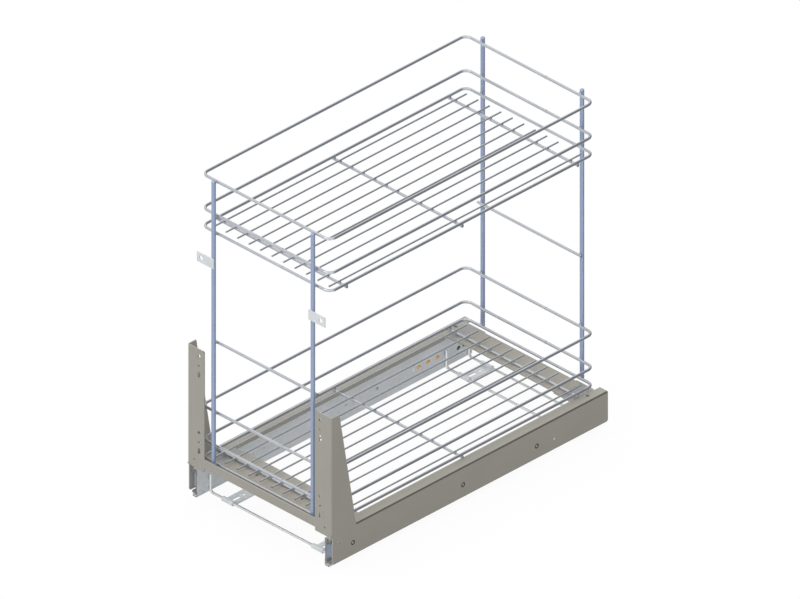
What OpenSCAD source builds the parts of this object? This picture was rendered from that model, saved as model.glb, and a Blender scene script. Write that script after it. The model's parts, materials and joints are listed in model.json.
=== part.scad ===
// Pull-out for a kitchen base cabinet: two wire baskets on a sheet steel carriage,
// carried by two full extension ball runners that stand on the cabinet floor.
// X runs from side to side, the door end faces -Y, +Z is up and z = 0 is the cabinet floor.
// The model is drawn closed, and the carriage comes out along -Y.

/* [Carriage] */
// Width over the two side rails
unit_w = 261; // [250:1:400]
// Depth from the door face to the rear end of the side rails
unit_l = 501.5; // [480:0.5:600]
// Sheet thickness of the side rails and their front brackets
sheet_t = 1.5; // [1:0.1:2]
// Height of a side rail's wall
rail_h = 44.7; // [44:0.1:60]
// Height of the rail's lower edge over the cabinet floor
rail_z = 8.9; // [8:0.1:12]
// Width of the rail's top flange
rail_flange_w = 17.3; // [17:0.1:20]
// Height of the turned down inner edge of the flange
flange_lip_h = 6.5; // [4:0.1:6.8]
// Gap from that edge to the corner plates in front of it and behind it
flange_lip_gap = 1; // [0.5:0.1:20]
// Corner radius of the wall's lower corners
wall_corner_r = 3; // [1:0.5:6]
// Length of the narrower stretch at the flange's rear end
flange_notch_l = 10; // [4:1:15]
// How much narrower the flange is there
flange_notch_w = 2.5; // [1:0.5:5]
// Outer bend radius of the sheet steel
bend_r = 2.2; // [1.8:0.1:3]

/* [Door brackets] */
// Height of the bracket's top edge over the cabinet floor
bracket_top_z = 230.5; // [180:0.5:260]
// Width of the flange that the door is screwed to
bracket_flange_w = 30; // [24:0.5:40]
// Depth of the bracket's side wall at its top
bracket_top_d = 14.5; // [8:0.5:30]
// Depth of the bracket's side wall where it meets the rail
bracket_foot_d = 44.8; // [32:0.2:80]
// Height of the flange's lower edge over the cabinet floor
bracket_flange_z = 49.8; // [46.5:0.1:51.3]
// Rounding of the flange's inner top corner
bracket_corner_r = 3; // [1:0.5:6]
// Distance of the door holes from the rail's outer face
door_hole_inset = 20.7; // [12:0.1:22.5]
// Height of the lower round door hole
door_hole_z = 105.3; // [98:0.1:112]
// Distance between the lower and the upper group of door holes
door_hole_pitch = 115; // [96:1:118]
// Diameter of the round door holes
door_hole_d = 5; // [4:0.1:7]
// Drop from the round door hole to the small pilot hole
pilot_drop = 14.5; // [10:0.5:18]
// Diameter of the pilot holes
pilot_d = 3; // [2:0.1:4]
// Drop from the round door hole to the middle of the slot
slot_drop = 28; // [22:0.5:30]
// Length of the door slots
door_slot_l = 9; // [7:0.5:12]
// Width of the door slots
door_slot_w = 4.5; // [3:0.1:6]
// Distance of the flange's lowest hole from the rail's outer face
foot_hole_inset = 12.1; // [9:0.1:16]
// Height of that hole over the cabinet floor
foot_hole_z = 61.9; // [57:0.1:66]
// Diameter of that hole
foot_hole_d = 2.5; // [2:0.1:4]

/* [Cross plates] */
// Sheet thickness of the two cross plates
plate_t = 2; // [1.5:0.1:2.2]
// Gap between the end of a cross plate and the rail's outer face
plate_end_inset = 35.8; // [30:0.1:45]
// Depth of the front cross plate
front_plate_d = 66; // [50:1:90]
// Height of the front plate's upright lip over the plate
front_lip_h = 12; // [6:0.5:16]
// Outer radius of the bend between the front plate and its lip
plate_bend_r = 2.5; // [2.3:0.1:5]
// Depth of the rear cross plate
rear_plate_d = 38; // [32:1:60]
// Distance of the rear plate's edge from the rear end of the rails
rear_plate_inset = 13; // [8:0.5:20]
// How far the rear corner plates reach behind the rear plate
rear_corner_over = 4; // [0:0.5:7]
// Thickness of the corner plates that tie a cross plate to a rail
corner_plate_t = 2; // [1.5:0.1:3]
// Gap from the front plate's lip to the front corner plates
corner_lip_gap = 5; // [0:0.5:12]
// How far a corner plate reaches under its cross plate
corner_plate_lap = 12; // [8:0.5:20]
// Distance of the front plate's holes from the door face
front_hole_inset = 36.5; // [30:0.5:40]
// Distance of the rear plate's holes from the rear of the rails
rear_hole_inset = 40; // [38:0.5:42]
// Distance of the outer plate holes from the plate's ends
plate_hole_end_inset = 4.7; // [3.5:0.1:8]
// Distance of the inner plate holes from the plate's middle
plate_hole_inner_x = 41; // [20:0.5:60]
// Diameter of the plate holes
plate_hole_d = 5; // [3:0.1:8]

/* [Baskets] */
// Diameter of the basket's ring and cross wires
ring_wire_d = 4; // [3:0.1:5]
// Diameter of the thin floor wires
floor_wire_d = 2.5; // [2:0.1:3.5]
// Space from the rail's outer face to a basket's side
basket_side_inset = 12.7; // [6:0.1:16]
// Space from the rail's end to a basket's end
basket_end_inset = 9.7; // [8:0.1:20]
// Corner radius of the rings, to the middle of the wire
ring_corner_r = 10; // [6:0.5:20]
// Height of the middle ring over the bottom ring
middle_ring_rise = 27; // [15:0.5:40]
// Height of the top ring over the bottom ring
top_ring_rise = 78; // [50:1:120]
// Height of the upper basket over the lower one
basket_pitch = 348.2; // [200:0.1:420]
// Number of floor wires in a basket
floor_wire_n = 11; // [5:2:15]
// Distance from the outermost floor wire to the ring's side wire
floor_wire_margin = 11.8; // [6:0.1:20]
// Distance from the end of a floor wire to the ring's end wire
floor_wire_end_gap = 10.5; // [4:0.5:20]
// Distance of the outer cross wires from the ring's end wires
cross_wire_inset = 29.5; // [14:0.5:50]

/* [Uprights] */
// Diameter of the four upright rods
rod_d = 6; // [5:0.5:7]
// Distance of the rods from the ends of the cross plates
rod_inset = 4.7; // [3.5:0.1:20]
// Rise of the front rods over the upper basket's top ring
front_rod_rise = 0.5; // [0:0.5:5]
// Rise of the rear rods over the upper basket's top ring
rear_rod_rise = 4.5; // [0:0.5:15]
// Chamfer at the top of the rods
rod_chamfer = 1; // [0.4:0.1:2]
// Diameter of the tie bars between the rods
tie_bar_d = 4; // [3:0.5:6]
// Height of the tie bars over the cabinet floor
tie_bar_z = 246; // [160:0.5:380]
// How far a tie bar reaches past the rods
tie_bar_over = 4; // [2:0.5:8]

/* [Door lugs] */
// Height of the lugs' lower edge over the cabinet floor
lug_z = 360.5; // [260:0.5:390]
// Height of a lug
lug_h = 14.5; // [11:0.5:20]
// Width of a lug
lug_w = 30; // [24:0.5:38]
// Thickness of a lug
lug_t = 1.5; // [1:0.1:3]
// How far a lug reaches past its rod towards the middle
lug_back = 4; // [3:0.5:10]
// Diameter of the lug's door hole
lug_hole_d = 6.4; // [4:0.1:8]
// Distance of that hole from the lug's outer end
lug_hole_inset = 7.5; // [6:0.5:12]

/* [Runners] */
// Space for a runner between the rail's wall and the fixed member's web
runner_gap = 13.2; // [12.7:0.1:13.5]
// Sheet thickness of the fixed and the drawer member
runner_t = 1.2; // [1:0.1:1.3]
// Sheet thickness of the middle member
middle_t = 1; // [0.8:0.1:1.1]
// Height of the fixed member's lower edge over the cabinet floor
runner_z = 3.1; // [2:0.1:4.5]
// Height of the fixed member
fixed_h = 42; // [40:0.2:42.4]
// Distance of the fixed member's front end from the door face
fixed_front_inset = 2.5; // [2.5:0.5:6]
// Distance of the middle member's front end from the door face
middle_front_inset = 3; // [2:0.5:10]
// Gap between the middle member's rear end and the damper
middle_rear_gap = 6; // [2:0.5:30]
// Distance of the drawer member's front end from the door face
drawer_front_inset = 10; // [4:0.5:20]
// Distance of the drawer member's rear end from the rear of the rails
drawer_rear_inset = 3; // [1:0.5:10]
// Diameter of the balls
ball_d = 3; // [2.8:0.1:3.1]
// Clearance between a ball and its tracks
ball_clear = 0.2; // [0.15:0.05:0.3]
// Balls in one row of the outer cage
outer_ball_n = 6; // [4:1:6]
// Balls in one row of the inner cage
inner_ball_n = 8; // [4:1:8]
// Distance between neighbouring balls
ball_pitch = 20; // [10:0.5:22]
// Thickness of the cage strips
cage_t = 0.6; // [0.4:0.1:0.8]
// Distance from a cage's last ball to its end
cage_end = 8; // [4:0.5:10]

/* [Soft close] */
// Length of the damper housing
damper_l = 62; // [40:1:70]
// Height of the damper housing
damper_h = 16; // [10:0.5:17]
// Distance of the damper from the rear of the rails
damper_inset = 42; // [36:1:60]
// Gap between the damper and the rubber buffer behind it
buffer_gap = 10; // [2:0.5:12]
// Distance of the buffer's rear end from the rear of the rails
buffer_inset = 10; // [6:0.5:12]

/* [Floor frame] */
// Diameter of the U shaped floor wires
foot_wire_d = 4; // [3:0.5:5]
// Bend radius of the floor wires, to the middle of the wire
foot_bend_r = 5; // [4:0.5:8]
// Height of the wires' upright ends over the cabinet floor
foot_leg_z = 30.4; // [16:0.2:36]
// Distance of the first floor wire from the door face
foot_front_inset = 25; // [12:1:60]
// Distance of the last floor wire from the rear of the rails
foot_rear_inset = 7.5; // [3:0.5:40]
// Distance between the two wires of a pair
foot_pair_pitch = 41; // [36:1:60]
// Thickness of the floor tabs
tab_t = 1.5; // [1:0.1:2]
// Width of a floor tab
tab_w = 19.5; // [14:0.5:30]
// Distance of the tabs' middle from the upright ends of the floor wires
tab_inset = 32.3; // [20:0.1:60]
// Running clearance between a tab's rolled end and its wire
tab_roll_clear = 0.05; // [0:0.01:0.1]
// Diameter of the round floor screw hole
floor_hole_d = 5; // [4:0.1:6]
// Length of the floor screw slot
floor_slot_l = 13.4; // [9:0.2:14]
// Distance of the slot's middle from the pair's first wire
floor_slot_y = 14.5; // [13:0.5:16]
// Distance of the round hole from the pair's first wire
floor_hole_y = 28; // [27:0.5:29.5]

/* [Fixings] */
// Head diameter of the countersunk screws through the rail's wall
screw_head_d = 6.6; // [5:0.1:7]
// Shank diameter of those screws
screw_d = 3.8; // [3:0.1:4]
// Clearance of the screws in their holes
screw_clear = 0.15; // [0.05:0.05:0.3]
// Gap round a screw's head in its countersink
head_clear = 0.4; // [0.3:0.1:0.9]
// Height of the screws over the cabinet floor
screw_z = 27.3; // [21:0.1:28]
// Distance of the first screw from the door face
front_screw_inset = 39; // [24:1:60]
// How far the second screw lies in front of the rail's middle
middle_screw_shift = 12; // [0:1:40]
// Distance of the third screw from the rear of the rails
rear_screw_inset = 129; // [127:1:150]
// Across flats size of the screw's nut
nut_w = 6; // [5.5:0.5:7]
// Thickness of the nut
nut_t = 1.6; // [1:0.1:2]

/* [Hidden] */
$fn = 40;

// Colours of the finishes
taupe = [0.60, 0.59, 0.54];
zinc = [0.66, 0.69, 0.71];
blue_steel = [0.56, 0.62, 0.76];
chrome_wire = [0.74, 0.76, 0.79];
orange = [0.85, 0.55, 0.15];
rubber_black = [0.15, 0.15, 0.16];

left = -1;
right = 1;
front = -1;
rear = 1;
half_w = unit_w / 2;
half_l = unit_l / 2;
eps = 1;

// Rails
rail_top_z = rail_z + rail_h;
wall_in_x = half_w - sheet_t;
flange_in_x = half_w - rail_flange_w;

// Cross plates
plate_half_w = half_w - plate_end_inset;
plate_top_z = rail_top_z + plate_t;
front_hole_y = -half_l + front_hole_inset;
rear_hole_y = half_l - rear_hole_inset;
rear_plate_y0 = half_l - rear_plate_inset - rear_plate_d;
plate_hole_outer_x = plate_half_w - plate_hole_end_inset;
lip_half_w = half_w - bracket_flange_w;

// Baskets: the cross wires rest on the cross plates, and the rings rest on the cross wires
ring_r = ring_wire_d / 2;
ring_w = unit_w - 2 * basket_side_inset - ring_wire_d;
ring_l = unit_l - 2 * basket_end_inset - ring_wire_d;
lower_ring_z = plate_top_z + ring_wire_d + ring_r;
upper_ring_z = lower_ring_z + basket_pitch;
upper_top_z = upper_ring_z + top_ring_rise + ring_r;
cross_wire_y = ring_l / 2 - cross_wire_inset;
floor_wire_pitch = (ring_w - 2 * floor_wire_margin) / (floor_wire_n - 1);

// Uprights stand outside the rings' end wires
rod_x = plate_half_w - rod_inset;
rod_y = ring_l / 2 + ring_r + rod_d / 2;
tie_bar_y = rod_y - rod_d / 2 - tie_bar_d / 2;

// Runner members, by their distance t outwards from the fixed member's web
web_x = wall_in_x - runner_gap;
runner_mid_z = runner_z + fixed_h / 2;
ball_r = ball_d / 2;
fixed_half_h = fixed_h / 2;
channel_clear = 0.4;
// The web's middle panel is pressed outwards
panel_step = 0.6;
panel_half_h = 10.5;
fixed_race_t = 7.7;
race_lip = 3.4;
// Outer ball row, middle member, inner ball row and drawer member follow inwards from the top track
outer_ball_z = fixed_half_h - runner_t - ball_clear - ball_r;
middle_half_h = outer_ball_z - ball_r - ball_clear;
inner_ball_z = middle_half_h - middle_t - ball_clear - ball_r;
drawer_half_h = inner_ball_z - ball_r - ball_clear;
side_clear = 0.35;
pocket_clear = 0.1;
middle_ridge_h = 1;
middle_ridge_low_h = 0.7;
drawer_ridge_h = 1;
middle_web_t0 = panel_step + runner_t + channel_clear;
middle_ridge_t = 0.6;
outer_ball_t = middle_web_t0 + middle_ridge_t + side_clear + ball_r;
middle_flange_w = 9.4;
middle_lip_h = 2;
inner_ball_t = middle_flange_w - middle_t - side_clear - ball_r;
drawer_ridge_t = 0.8;
drawer_t0 = inner_ball_t - ball_r - side_clear - drawer_ridge_t;

// Damper and buffer stand on the fixed member's web, inside the drawer member's channel.
// A tongue on the drawer member runs into the damper's mouth at the end of closing.
damper_rib = 3;
damper_mouth_l = 40;
damper_mouth_h = 3;
damper_mouth_d = 2.6;
tongue_l = 3;
tongue_clear = 0.5;
tongue_h = 2;
tongue_w = 1.8;
damper_t0 = panel_step + runner_t;
damper_t1 = runner_gap - runner_t - channel_clear;
damper_rear_y = half_l - damper_inset;
damper_front_y = damper_rear_y - damper_l;
tongue_y = damper_front_y + damper_mouth_l - tongue_l;
buffer_front_y = damper_rear_y + buffer_gap;
buffer_rear_y = half_l - buffer_inset;

// Runner members and cages along Y, closed
fixed_front_y = -half_l + fixed_front_inset;
fixed_rear_y = half_l;
middle_front_y = -half_l + middle_front_inset;
middle_rear_y = damper_front_y - middle_rear_gap;
drawer_front_y = -half_l + drawer_front_inset;
drawer_rear_y = half_l - drawer_rear_inset;
// A cage lies midway between the ends that come nearest to each other as the carriage is pulled
// out, so it is in the middle of its two members' overlap at full travel
outer_cage_y = (fixed_front_y + middle_rear_y) / 2;
inner_cage_y = (middle_front_y + drawer_rear_y) / 2;
outer_cage_l = (outer_ball_n - 1) * ball_pitch + 2 * cage_end;
inner_cage_l = (inner_ball_n - 1) * ball_pitch + 2 * cage_end;

// Floor frame
foot_r = foot_wire_d / 2;
foot_z = tab_t + foot_r;
foot_leg_x = web_x - foot_r;
tab_x = foot_leg_x - tab_inset;
front_pair_y = -half_l + foot_front_inset;
rear_pair_y = half_l - foot_rear_inset - foot_pair_pitch;

// Holes of the fixed member's web: place along Y from the rail's rear end, height over the web's
// middle, diameter
web_holes = [
  [397, 0, 3], [377, 0, 3], [228.4, 0, 4], [214, 0, 4],
  [105.5, 0, 5], [96, 0, 7], [79.5, 0, 7], [62.5, 0, 7], [24, -2.6, 7], [15, -3.4, 4]
];
web_slot_inset = 172;
web_slot_y = half_l - web_slot_inset;
web_slot_l = 7;
web_slot_w = 5;

// Screws through the rail's wall, by their place along Y
screw_places = [-half_l + front_screw_inset, -middle_screw_shift, half_l - rear_screw_inset];
csk_t = 1;
head_sink = 0.3;
head_base_x = half_w - head_sink - csk_t;
socket_d = 2.9;
socket_t = 0.9;

// Notch at the foot of the bracket's bend
relief_inset = 4.8;
relief_d = 3;

// Small holes of the rail: in the flange at the rear, in the wall at the rear and at the front
flange_hole_x = 11;
flange_hole_y = 26;
flange_hole_d = 5;
wall_hole_rear_y = 97;
wall_hole_rear_d = 3.5;
wall_hole_front_y = 13;
wall_hole_front_z = 38;
wall_hole_front_d = 4;

module wire_x(l, d) rotate([0, 90, 0]) cylinder(h = l, d = d, center = true);
module wire_y(l, d) rotate([90, 0, 0]) cylinder(h = l, d = d, center = true);
module wire_bend(r, d) rotate_extrude(angle = 90) translate([r, 0]) circle(d = d);

// Turns a right-hand piece into the piece of either side
module on_side(side) mirror([side == left ? 1 : 0, 0, 0]) children();

// Extrudes a profile drawn in X and Z along Y
module along_y(y0, y1) translate([0, y1, 0]) rotate([90, 0, 0]) linear_extrude(y1 - y0) children();

// Extrudes a profile drawn in Y and Z along X
module along_x(x0, x1) translate([x0, 0, 0]) rotate([90, 0, 90]) linear_extrude(x1 - x0) children();

module hole_x(x0, x1, y, z, d) translate([x0, y, z]) rotate([0, 90, 0]) cylinder(h = x1 - x0, d = d);
module hole_y(y0, y1, x, z, d) translate([x, y1, z]) rotate([90, 0, 0]) cylinder(h = y1 - y0, d = d);

// A slot through a sheet that faces Y, standing upright
module upright_slot(x, z, l, w) {
  for (end = [-1, 1]) hole_y(-half_l - eps, -half_l + sheet_t + eps, x, z + end * (l - w) / 2, w);
  translate([x - w / 2, -half_l - eps, z - (l - w) / 2]) cube([w, sheet_t + 2 * eps, l - w]);
}

// Baskets
module ring(z) translate([0, 0, z]) {
  for (side = [left, right])
    translate([side * ring_w / 2, 0, 0]) wire_y(ring_l - 2 * ring_corner_r, ring_wire_d);
  for (end = [front, rear])
    translate([0, end * ring_l / 2, 0]) wire_x(ring_w - 2 * ring_corner_r, ring_wire_d);
  for (k = [0:3]) {
    sx = (k == 0 || k == 3) ? 1 : -1;
    sy = k < 2 ? 1 : -1;
    translate([sx * (ring_w / 2 - ring_corner_r), sy * (ring_l / 2 - ring_corner_r), 0])
      rotate([0, 0, 90 * k]) wire_bend(ring_corner_r, ring_wire_d);
  }
}

module floor_wires(ring_z) {
  z = ring_z - ring_wire_d / 2 + floor_wire_d / 2;
  for (k = [0:floor_wire_n - 1]) {
    x = (k - (floor_wire_n - 1) / 2) * floor_wire_pitch;
    translate([x, 0, z]) wire_y(ring_l - 2 * floor_wire_end_gap, floor_wire_d);
  }
}

module cross_wires(ring_z)
  for (y = [-cross_wire_y, 0, cross_wire_y])
    translate([0, y, ring_z - ring_wire_d]) wire_x(ring_w + ring_wire_d, ring_wire_d);

module lower_bottom_ring() color(chrome_wire) ring(lower_ring_z);
module lower_middle_ring() color(chrome_wire) ring(lower_ring_z + middle_ring_rise);
module lower_top_ring() color(chrome_wire) ring(lower_ring_z + top_ring_rise);
module lower_floor_wires() color(chrome_wire) floor_wires(lower_ring_z);
module lower_cross_wires() color(chrome_wire) cross_wires(lower_ring_z);
module upper_bottom_ring() color(chrome_wire) ring(upper_ring_z);
module upper_middle_ring() color(chrome_wire) ring(upper_ring_z + middle_ring_rise);
module upper_top_ring() color(chrome_wire) ring(upper_ring_z + top_ring_rise);
module upper_floor_wires() color(chrome_wire) floor_wires(upper_ring_z);
module upper_cross_wires() color(chrome_wire) cross_wires(upper_ring_z);

// Upright rods: the front ones stand on the front plate, the rear ones start at the bottom ring
module upright(side, z0, z1, y) color(blue_steel) translate([side * rod_x, y, 0]) {
  translate([0, 0, z0]) cylinder(h = z1 - z0 - rod_chamfer, d = rod_d);
  translate([0, 0, z1 - rod_chamfer]) cylinder(h = rod_chamfer, d1 = rod_d, d2 = rod_d - 2 * rod_chamfer);
}
module upright_front(side) upright(side, plate_top_z, upper_top_z + front_rod_rise, -rod_y);
module upright_rear(side) upright(side, lower_ring_z - ring_r, upper_top_z + rear_rod_rise, rod_y);
module upright_front_left() upright_front(left);
module upright_front_right() upright_front(right);
module upright_rear_left() upright_rear(left);
module upright_rear_right() upright_rear(right);

module tie_bar(end) color(chrome_wire)
  translate([0, end * tie_bar_y, tie_bar_z]) wire_x(2 * (rod_x + tie_bar_over), tie_bar_d);
module tie_bar_front() tie_bar(front);
module tie_bar_rear() tie_bar(rear);

// Lugs that hold the door, welded to the front rods
module door_lug(side) color(zinc) on_side(side) difference() {
  translate([rod_x - lug_back, -rod_y - rod_d / 2 - lug_t, lug_z]) cube([lug_w, lug_t, lug_h]);
  hole_y(-rod_y - rod_d / 2 - lug_t - eps, -rod_y - rod_d / 2 + eps,
    rod_x - lug_back + lug_w - lug_hole_inset, lug_z + lug_h / 2, lug_hole_d);
}
module door_lug_left() door_lug(left);
module door_lug_right() door_lug(right);

// Side rail with the door bracket at its front, bent from one sheet
module rail_profile() difference() {
  union() {
    translate([wall_in_x, rail_z]) square([sheet_t, rail_h - bend_r]);
    translate([flange_in_x, rail_top_z - sheet_t]) square([rail_flange_w - bend_r, sheet_t]);
    intersection() {
      translate([half_w - bend_r, rail_top_z - bend_r]) square(bend_r);
      translate([half_w - bend_r, rail_top_z - bend_r]) circle(r = bend_r);
    }
  }
  translate([half_w - bend_r, rail_top_z - bend_r]) circle(r = bend_r - sheet_t);
}

module bracket_plan() difference() {
  union() {
    translate([wall_in_x, -half_l + bend_r]) square([sheet_t, bracket_foot_d - bend_r]);
    translate([lip_half_w, -half_l]) square([bracket_flange_w - bend_r, sheet_t]);
    intersection() {
      translate([half_w - bend_r, -half_l]) square(bend_r);
      translate([half_w - bend_r, -half_l + bend_r]) circle(r = bend_r);
    }
  }
  translate([half_w - bend_r, -half_l + bend_r]) circle(r = bend_r - sheet_t);
}

module bracket_blank() difference() {
  translate([0, 0, bracket_flange_z]) linear_extrude(bracket_top_z - bracket_flange_z) bracket_plan();
  // Slanted rear edge of the side wall
  translate([half_w + eps, 0, 0]) rotate([0, -90, 0]) linear_extrude(bend_r + 2 * eps)
    polygon([
      [rail_top_z, -half_l + bracket_foot_d],
      [bracket_top_z, -half_l + bracket_top_d],
      [bracket_top_z + eps, -half_l + bracket_top_d],
      [bracket_top_z + eps, -half_l + bracket_foot_d + eps],
      [rail_top_z, -half_l + bracket_foot_d + eps]
    ]);
  // Rounded inner top corner
  translate([lip_half_w, -half_l - eps, bracket_top_z - bracket_corner_r]) difference() {
    translate([-eps, 0, 0]) cube([bracket_corner_r + eps, sheet_t + 2 * eps, bracket_corner_r + eps]);
    translate([bracket_corner_r, -eps, 0]) rotate([-90, 0, 0])
      cylinder(h = sheet_t + 4 * eps, r = bracket_corner_r);
  }
}

// What is cut from a lower corner of the wall; inward is 1 or -1 along Y
module wall_corner(y, inward) difference() {
  translate([wall_in_x - eps, inward > 0 ? y - eps : y - wall_corner_r, rail_z - eps])
    cube([sheet_t + 2 * eps, wall_corner_r + eps, wall_corner_r + eps]);
  hole_x(wall_in_x - 2 * eps, half_w + 2 * eps, y + inward * wall_corner_r, rail_z + wall_corner_r,
    2 * wall_corner_r);
}

module door_holes() {
  x = half_w - door_hole_inset;
  for (z = [door_hole_z, door_hole_z + door_hole_pitch]) {
    hole_y(-half_l - eps, -half_l + sheet_t + eps, x, z, door_hole_d);
    hole_y(-half_l - eps, -half_l + sheet_t + eps, x, z - pilot_drop, pilot_d);
    upright_slot(x, z - slot_drop, door_slot_l, door_slot_w);
  }
  hole_y(-half_l - eps, -half_l + sheet_t + eps, half_w - foot_hole_inset, foot_hole_z, foot_hole_d);
}

module side_rail(side) color(taupe) on_side(side) difference() {
  union() {
    along_y(-half_l, half_l) rail_profile();
    // Turned down edge of the flange, between the corner plates
    along_y(-half_l + front_plate_d + flange_lip_gap, rear_plate_y0 - flange_lip_gap)
      translate([flange_in_x, rail_top_z - flange_lip_h]) square([sheet_t, flange_lip_h]);
    bracket_blank();
  }
  // The wall stands back below the bracket's bend, and its lower corners are rounded
  translate([wall_in_x - eps, -half_l - eps, rail_z - eps])
    cube([sheet_t + 2 * eps, bend_r + eps, bracket_flange_z - rail_z + eps]);
  wall_corner(-half_l + bend_r, 1);
  wall_corner(half_l, -1);
  // Narrower stretch of the flange at the rear
  translate([flange_in_x - eps, half_l - flange_notch_l, rail_top_z - sheet_t - eps])
    cube([flange_notch_w + eps, flange_notch_l + eps, sheet_t + 2 * eps]);
  door_holes();
  // Round notch that relieves the bend at the flange's lower edge
  hole_y(-half_l - eps, -half_l + sheet_t + eps, half_w - relief_inset, bracket_flange_z, relief_d);
  // Rear fixing hole in the flange
  translate([half_w - flange_hole_x, half_l - flange_hole_y, rail_top_z - sheet_t - eps])
    cylinder(h = sheet_t + 2 * eps, d = flange_hole_d);
  // Countersunk screw holes and two small holes in the wall
  for (p = screw_places) {
    hole_x(wall_in_x - eps, half_w + eps, p, screw_z, screw_d + 2 * screw_clear);
    hole_x(half_w - head_sink, half_w + eps, p, screw_z, screw_head_d + 2 * head_clear);
    translate([head_base_x, p, screw_z]) rotate([0, 90, 0])
      cylinder(h = csk_t, d1 = screw_d + 2 * screw_clear, d2 = screw_head_d + 2 * head_clear);
  }
  hole_x(wall_in_x - eps, half_w + eps, half_l - wall_hole_rear_y, runner_mid_z, wall_hole_rear_d);
  hole_x(wall_in_x - eps, half_w + eps, -half_l + wall_hole_front_y, wall_hole_front_z, wall_hole_front_d);
}
module side_rail_left() side_rail(left);
module side_rail_right() side_rail(right);

module rail_screws(side) color(zinc) on_side(side) for (p = screw_places)
  translate([0, p, screw_z]) rotate([0, 90, 0]) difference() {
    union() {
      translate([0, 0, head_base_x]) cylinder(h = csk_t, d1 = screw_d, d2 = screw_head_d);
      translate([0, 0, wall_in_x - runner_t - nut_t])
        cylinder(h = head_base_x - wall_in_x + runner_t + nut_t, d = screw_d);
      translate([0, 0, wall_in_x - runner_t - nut_t]) cylinder(h = nut_t, d = nut_w / cos(30), $fn = 6);
    }
    translate([0, 0, head_base_x + csk_t - socket_t]) cylinder(h = eps, d = socket_d, $fn = 6);
  }
module rail_screws_left() rail_screws(left);
module rail_screws_right() rail_screws(right);

// Cross plates, with holes for clips along the cross wires
module plate_holes(y)
  for (x = [-plate_hole_outer_x, -plate_hole_inner_x, plate_hole_inner_x, plate_hole_outer_x])
    translate([x, y, rail_top_z - eps]) cylinder(h = plate_t + 2 * eps, d = plate_hole_d);

// The front plate is bent up at the door face
module lip_profile() difference() {
  union() {
    translate([-half_l, rail_top_z + plate_bend_r]) square([plate_t, front_lip_h + plate_t - plate_bend_r]);
    intersection() {
      translate([-half_l, rail_top_z]) square(plate_bend_r);
      translate([-half_l + plate_bend_r, rail_top_z + plate_bend_r]) circle(r = plate_bend_r);
    }
  }
  translate([-half_l + plate_bend_r, rail_top_z + plate_bend_r]) circle(r = plate_bend_r - plate_t);
}

module front_cross_plate() color(taupe) difference() {
  union() {
    translate([-plate_half_w, -half_l + plate_bend_r, rail_top_z])
      cube([2 * plate_half_w, front_plate_d - plate_bend_r, plate_t]);
    along_x(-lip_half_w, lip_half_w) lip_profile();
  }
  plate_holes(front_hole_y);
}

module rear_cross_plate() color(taupe) difference() {
  translate([-plate_half_w, rear_plate_y0, rail_top_z]) cube([2 * plate_half_w, rear_plate_d, plate_t]);
  plate_holes(rear_hole_y);
}

// Corner plates butt against the rail's flange and carry the end of a cross plate
module corner_plate(side, y0, y1, hole_y) color(taupe) on_side(side) difference() {
  translate([plate_half_w - corner_plate_lap, y0, rail_top_z - corner_plate_t])
    cube([flange_in_x - plate_half_w + corner_plate_lap, y1 - y0, corner_plate_t]);
  translate([plate_hole_outer_x, hole_y, rail_top_z - corner_plate_t - eps])
    cylinder(h = corner_plate_t + 2 * eps, d = plate_hole_d);
}
module corner_plate_front(side)
  corner_plate(side, -half_l + plate_t + corner_lip_gap, -half_l + front_plate_d, front_hole_y);
module corner_plate_rear(side)
  corner_plate(side, rear_plate_y0, half_l - rear_plate_inset + rear_corner_over, rear_hole_y);
module corner_plate_front_left() corner_plate_front(left);
module corner_plate_front_right() corner_plate_front(right);
module corner_plate_rear_left() corner_plate_rear(left);
module corner_plate_rear_right() corner_plate_rear(right);

// Runner profiles, drawn with t outwards as X and the runner's middle at height 0.
// Each is given by the points of its upper half, and the lower half mirrors them.
function both_halves(top) = concat(top, [for (i = [len(top) - 1:-1:0]) [top[i][0], -top[i][1]]]);

module fixed_profile() {
  h = fixed_half_h;
  t = runner_t;
  polygon(both_halves([
    [panel_step, panel_half_h], [0, panel_half_h + 1], [0, h - t], [t, h],
    [fixed_race_t, h], [fixed_race_t, h - race_lip],
    [fixed_race_t - t, h - race_lip], [fixed_race_t - t, h - t],
    [t + panel_step, h - t], [t, h - t - panel_step],
    [t, panel_half_h + 1], [t + panel_step, panel_half_h]
  ]));
}

module middle_profile() {
  h = middle_half_h;
  t0 = middle_web_t0;
  t1 = middle_flange_w;
  ridge_t = outer_ball_t + ball_r + side_clear;
  polygon(both_halves([
    [t0, h + middle_ridge_h], [t0 + middle_ridge_t, h + middle_ridge_h], [t0 + middle_ridge_t, h],
    [ridge_t, h], [ridge_t, h + middle_ridge_low_h], [ridge_t + middle_ridge_t, h + middle_ridge_low_h],
    [ridge_t + middle_ridge_t, h], [t1, h], [t1, h - middle_t - middle_lip_h],
    [t1 - middle_t, h - middle_t - middle_lip_h], [t1 - middle_t, h - middle_t],
    [t0 + middle_t, h - middle_t]
  ]));
}

module drawer_profile() {
  h = drawer_half_h;
  t = runner_t;
  t0 = drawer_t0;
  g = runner_gap;
  polygon(both_halves([
    [g - t, h - t], [t0, h - t], [t0, h + drawer_ridge_h], [t0 + drawer_ridge_t, h + drawer_ridge_h],
    [t0 + drawer_ridge_t, h], [g - t, h], [g, h - t]
  ]));
}

// Puts a runner piece at its place on one side
module at_runner(side) on_side(side) translate([web_x, 0, runner_mid_z]) children();

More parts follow.
